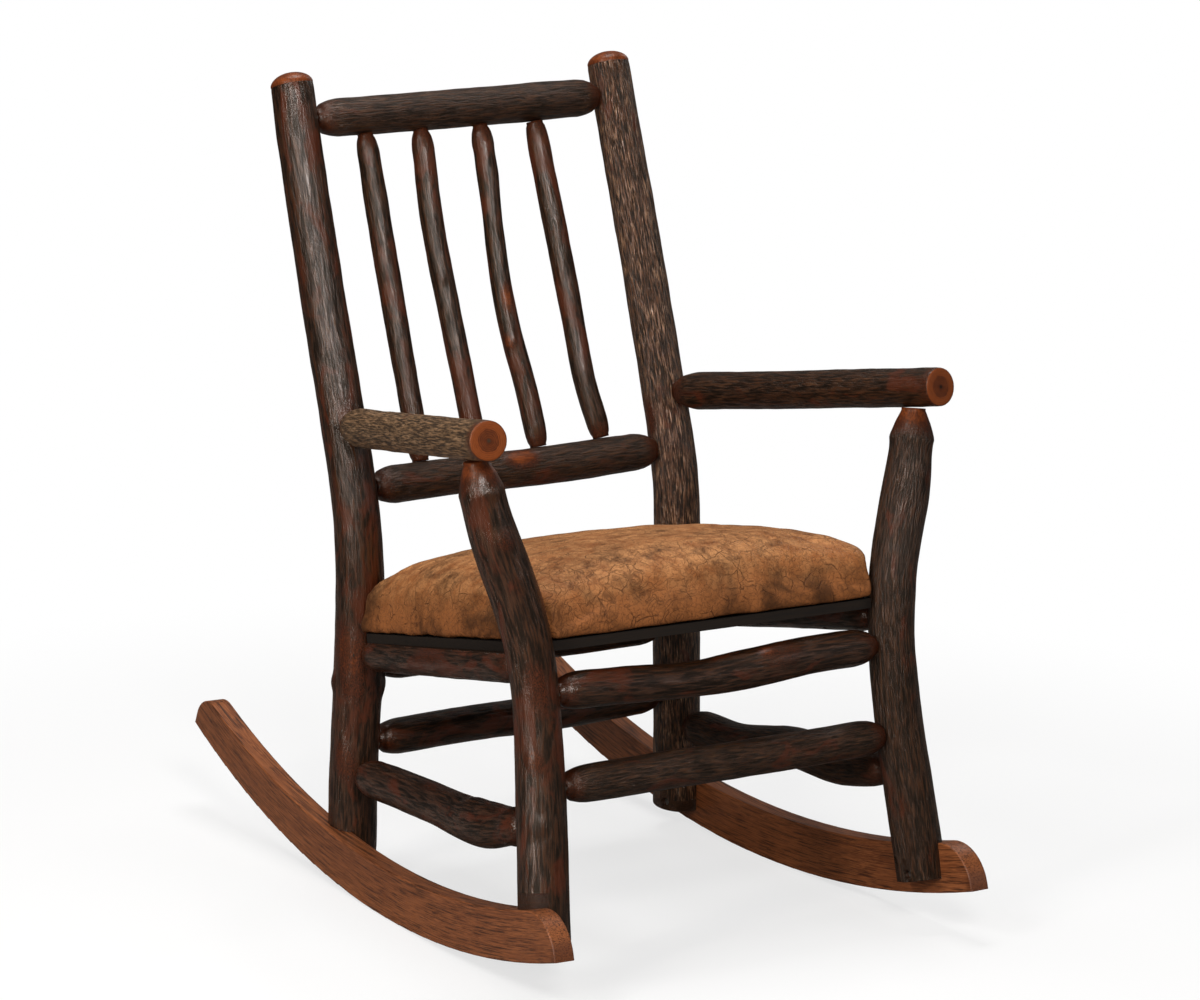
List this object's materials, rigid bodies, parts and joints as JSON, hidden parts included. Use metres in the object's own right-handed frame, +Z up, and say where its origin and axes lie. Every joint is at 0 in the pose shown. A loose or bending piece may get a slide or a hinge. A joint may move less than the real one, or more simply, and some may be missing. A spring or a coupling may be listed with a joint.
{
  "type": "rocking chair",
  "caption": "High-backed armchair on two curved rockers, made of barked poles tenoned together, with a spindle back and a crowned upholstered seat.",
  "frame": {"origin": "On the floor, midway between the two points where the rockers touch it at rest.", "axes": "+Z is up from the floor to the tops of the back posts. The chair faces -Y. +X is on the right of someone who looks at its front."},
  "size_m": [0.7194, 1.013, 1.0323],
  "materials": {
    "bark_pole": "satin varnish over bark",
    "bark_arm": "satin varnish over bark",
    "bark_rail": "satin varnish over bark",
    "bark_spindle": "satin varnish over bark",
    "sawn_board": "satin varnish over stain",
    "plywood": "raw",
    "foam": "open foam",
    "seat_suede": "distressed suede",
    "lining": "woven",
    "steel": "zinc plated"
  },
  "bodies": {
    "root": {"left_back_post": "bark_pole", "right_back_post": "bark_pole", "left_front_post": "bark_pole", "right_front_post": "bark_pole", "left_arm": "bark_arm", "right_arm": "bark_arm", "crest_rail": "bark_rail", "lower_back_rail": "bark_rail", "back_spindle_1": "bark_spindle", "back_spindle_2": "bark_spindle", "back_spindle_3": "bark_spindle", "back_spindle_4": "bark_spindle", "front_seat_rail": "bark_rail", "rear_seat_rail": "bark_rail", "left_seat_rail": "bark_rail", "right_seat_rail": "bark_rail", "front_rung": "bark_rail", "rear_rung": "bark_rail", "left_side_rung": "bark_rail", "right_side_rung": "bark_rail", "left_rocker": "sawn_board", "right_rocker": "sawn_board", "seat_board": "plywood", "seat_foam": "foam", "seat_cover": "seat_suede", "dust_cover": "lining", "rocker_screws": "steel", "seat_screws": "steel", "joint_nails": "steel", "cover_staples": "steel"}
  },
  "joints": []
}
